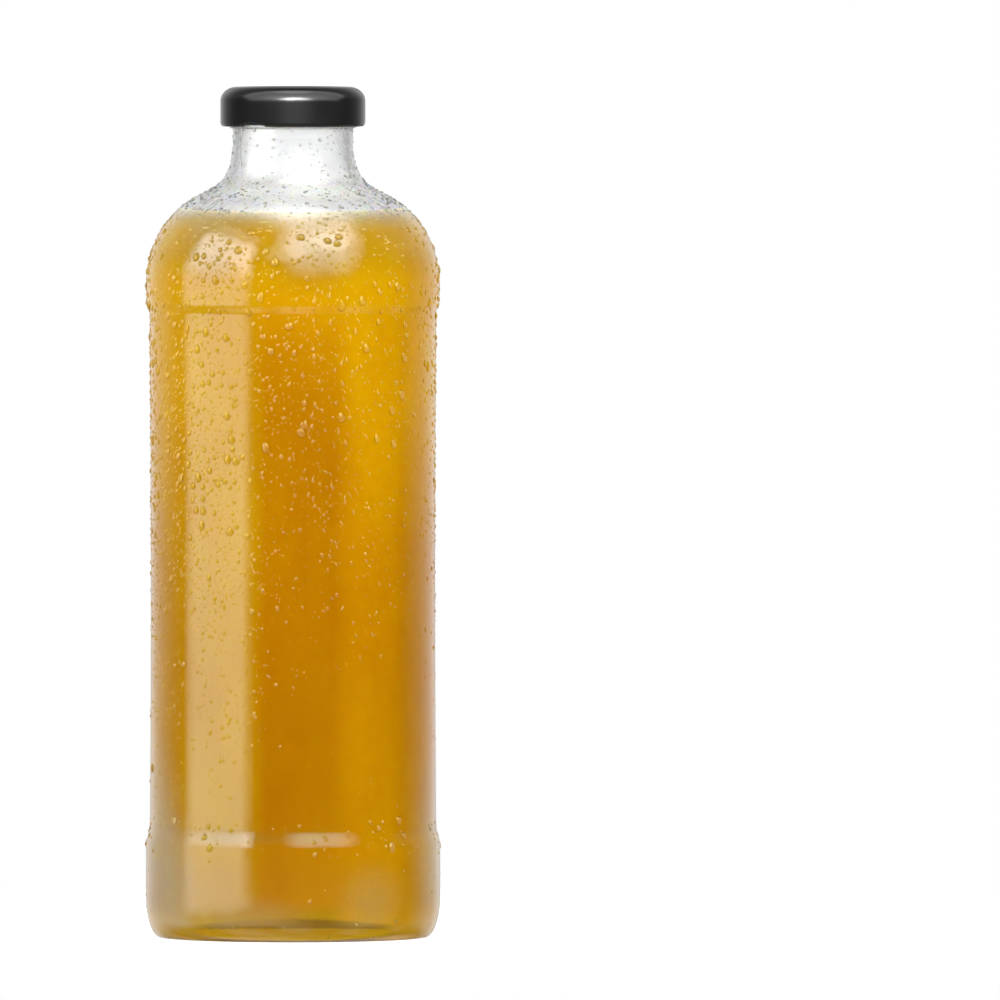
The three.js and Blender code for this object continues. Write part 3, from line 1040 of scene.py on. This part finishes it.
def studio_light():
    """White surroundings for the camera, soft even light for matt surfaces, softboxes for shiny ones."""
    world = bpy.data.worlds.new("studio")
    bpy.context.scene.world = world
    world.use_nodes = True
    world.node_tree.nodes.clear()
    tree = Tree(world.node_tree)
    direction = tree.node("ShaderNodeTexCoord", output="Generated")
    split = tree.node("ShaderNodeSeparateXYZ", {}, {"Vector": direction}, "X")
    across = tree.math("ARCTAN2", split, split.out("Y") * -1.0)
    either = tree.math("ABSOLUTE", across * math.degrees(1))
    elevation = tree.math("ARCSINE", split.out("Z")) * math.degrees(1)

    level = tree.smooth(elevation, -28, -12) * (1 - tree.smooth(elevation, 10, 48))
    rims = tree.smooth(either, 93, 160) * (1 - 0.35 * tree.smooth(either, 158, 172)) * level
    upper = softbox(tree, either, elevation, (92, 165, 16, 70), (12, 8, 7, 6))
    zenith = tree.smooth(elevation, 68, 84)
    table = 1 - tree.smooth(elevation, -50, -12)
    lumps = tree.smooth(tree.noise(direction, 1.6, 1.0), 0.42, 0.62)
    mirrored = 1.05 * rims + 0.25 * upper + 5.0 * zenith + table * (0.15 + 1.2 * lumps)

    behind = tree.smooth(either, 92, 125)
    flags = softbox(tree, either, elevation, (134, 158, -50, 60), (7, 6, 10, 10))
    above = tree.smooth(elevation, -26, -12)
    overhead_white = tree.smooth(elevation, 50, 75)
    see_through = above * (0.38 + 0.26 * behind + 0.15 * overhead_white) + 0.3 - 0.65 * flags * above

    path = tree.node("ShaderNodeLightPath", output="Is Camera Ray")
    shiny = path.out("Is Glossy Ray")
    through = path.out("Is Transmission Ray")
    scattered_on = tree.math("MINIMUM", path.out("Diffuse Depth"), 1.0)
    soft = 1.9 - 1.0 * tree.smooth(either, 35, 110)
    clean = shiny * (mirrored * (1 - through) + see_through * through) + soft * (1 - shiny)
    strength = clean * (1 - scattered_on) + soft * scattered_on
    lit = tree.node("ShaderNodeBackground", {}, {"Color": colour(1, 1, 1), "Strength": strength})
    white = tree.node("ShaderNodeBackground", {}, {"Color": colour(1, 1, 1), "Strength": 1.0})
    surface = tree.node("ShaderNodeMixShader", {}, {0: path, 1: lit, 2: white})
    tree.node("ShaderNodeOutputWorld", {}, {"Surface": surface})


def soft_lamp(name, aim, azimuth, elevation, distance, width, height):
    """A large lamp that shows in reflections alone; gives it, its tree, and the place across and up it."""
    lamp = bpy.data.lights.new(name, "AREA")
    lamp.shape = "RECTANGLE"
    lamp.size = width
    lamp.size_y = height
    lamp.energy = math.pi * width * height
    lamp.use_nodes = True
    lamp.node_tree.nodes.clear()
    light = bpy.data.objects.new(name, lamp)
    bpy.context.scene.collection.objects.link(light)
    light.visible_diffuse = False
    light.visible_transmission = False
    azimuth = math.radians(azimuth)
    elevation = math.radians(elevation)
    away = Vector((
        math.cos(elevation) * math.sin(azimuth),
        -math.cos(elevation) * math.cos(azimuth),
        math.sin(elevation),
    ))
    light.location = aim + away * distance
    light.rotation_euler = away.to_track_quat("Z", "Y").to_euler()
    tree = Tree(lamp.node_tree)
    place = tree.node("ShaderNodeNewGeometry", output="Parametric")
    split = tree.node("ShaderNodeSeparateXYZ", {}, {"Vector": place}, "X")
    across = (split - 0.5) * width
    up = (split.out("Y") - 0.5) * height
    waver = tree.noise(tree.node("ShaderNodeCombineXYZ", {}, {"X": across, "Y": up}), 2.6, 2.0) - 0.5
    return light, tree, across + waver * 0.3, up - waver * 0.3


def shine(tree, strength):
    lit = tree.node("ShaderNodeEmission", {}, {"Color": colour(1, 1, 1), "Strength": strength})
    tree.node("ShaderNodeOutputLight", {}, {"Surface": lit})


def keep_out(light, piece):
    """Lets a lamp light everything but one piece."""
    kept_out = bpy.data.collections.new("kept_out_of_" + light.name)
    kept_out.objects.link(piece)
    light.light_linking.receiver_collection = kept_out
    kept_out.collection_objects[0].light_linking.link_state = "EXCLUDE"


def window_lamp(cap):
    """The tall window to the left, brightest towards its top. The cap is kept out of it."""
    aim = Vector((0, 0, 0.11))
    light, tree, across, up = soft_lamp(
        "window", aim, azimuth=-68, elevation=0, distance=1.0, width=1.9, height=3.4,
    )
    opening = softbox(tree, across, up, (-0.46, 0.66, -0.32, 1.5), (0.18, 0.13, 0.12, 0.15))
    bright = tree.smooth(up, 0.0, 0.65) * (1 - tree.smooth(up, 0.85, 1.25))
    shine(tree, opening * (3.0 + 5.4 * bright - 0.9 * tree.smooth(up, 0.9, 1.3)))
    keep_out(light, cap)


def cap_lamp(cap):
    """The lamps over the camera that show on the cap's shoulder. Only the cap takes them."""
    aim = Vector((0, 0, CAP_TOP * MM))
    light, tree, across, up = soft_lamp(
        "cap_lamp", aim, azimuth=3, elevation=45, distance=0.6, width=3.6, height=2.2,
    )
    core = soft_oval(tree, across, up, (0, -0.25), (0.22, 0.1), 0.85)
    glow = soft_oval(tree, across, up, (0, -0.12), (0.6, 0.3), 0.9)
    sky = tree.smooth(up, -0.42, -0.28)
    shine(tree, 90.0 * core + 5.0 * glow + 4.0 * sky)
    takers = bpy.data.collections.new("lit_by_cap_lamp")
    takers.objects.link(cap)
    light.light_linking.receiver_collection = takers


def overhead_lamp(cap):
    """The softbox over the camera, fading downwards, with a bright heart and a faint wing to its left."""
    aim = Vector((0, 0, 0.2))
    light, tree, across, up = soft_lamp(
        "overhead", aim, azimuth=22, elevation=42, distance=1.2, width=2.6, height=2.6,
    )
    leaning = across - 0.12 * up
    left_edge = tree.smooth(leaning, -0.7, -0.2)
    right_edge = 1 - tree.smooth(leaning, 0.42, 0.96)
    panel = left_edge * right_edge * tree.smooth(up, -1.0, 0.1) * (1 - 0.3 * tree.smooth(up, 0.5, 0.9))
    heart = soft_oval(tree, across, up, (0.19, 0.12), (0.3, 0.24), 0.8)
    wing = soft_oval(tree, across, up, (-0.5, -0.12), (0.36, 0.24), 0.6) * tree.smooth(up, -0.42, -0.2)
    shine(tree, 7.8 * panel + 3.6 * heart + 2.8 * wing)
    keep_out(light, cap)


def lay_floor():
    edge = [(FLOOR_DISC_RADIUS, -FLOOR_DISC_DEPTH), (FLOOR_DISC_RADIUS, 0)]
    floor = turned("floor", [(0, -FLOOR_DISC_DEPTH), *edge, (0, 0)], FLOOR_SIDES)
    floor.data.materials.append(pale_floor())
    floor.visible_glossy = False


def place_camera():
    camera = bpy.data.objects.new("camera", bpy.data.cameras.new("camera"))
    bpy.context.scene.collection.objects.link(camera)
    camera.data.sensor_width = SENSOR
    camera.data.lens = SENSOR * CAMERA_DISTANCE / (FRAME_SIDE * PIXEL)
    camera.data.clip_end = 100
    aim = Vector((
        (FRAME_SIDE / 2 - AXIS_PIXEL) * PIXEL,
        0,
        (FOOT_PIXEL - FRAME_SIDE / 2) * PIXEL / math.cos(CAMERA_ELEVATION),
    ))
    back = Vector((0, -math.cos(CAMERA_ELEVATION), math.sin(CAMERA_ELEVATION)))
    camera.location = aim + back * CAMERA_DISTANCE
    camera.rotation_euler = (math.pi / 2 - CAMERA_ELEVATION, 0, 0)
    bpy.context.scene.camera = camera


def make_bottle():
    glass = turned("fine_bottle_glass", glass_outside() + glass_inside()[::-1], GLASS_SIDES)
    dress(glass, clear_glass(), "bottle_glass")
    drink = turned("fine_lemonade", drink_outline(), GLASS_SIDES)
    dress(drink, lemonade(), "lemonade")
    inner_face, outer_face = cap_outline()
    cap = turned("fine_cap", inner_face + outer_face, CAP_SIDES)
    press_lugs(cap)
    dress(cap, black_enamel(), "cap")
    cap.data.materials.append(white_lacquer())
    for face in cap.data.polygons[:CAP_SIDES * (len(inner_face) - 1)]:
        face.material_index = 1
    window_lamp(cap)
    overhead_lamp(cap)
    cap_lamp(cap)
    make_drops(water())


place_camera()
studio_light()
lay_floor()
make_bottle()
bpy.context.scene.view_settings.view_transform = "Standard"
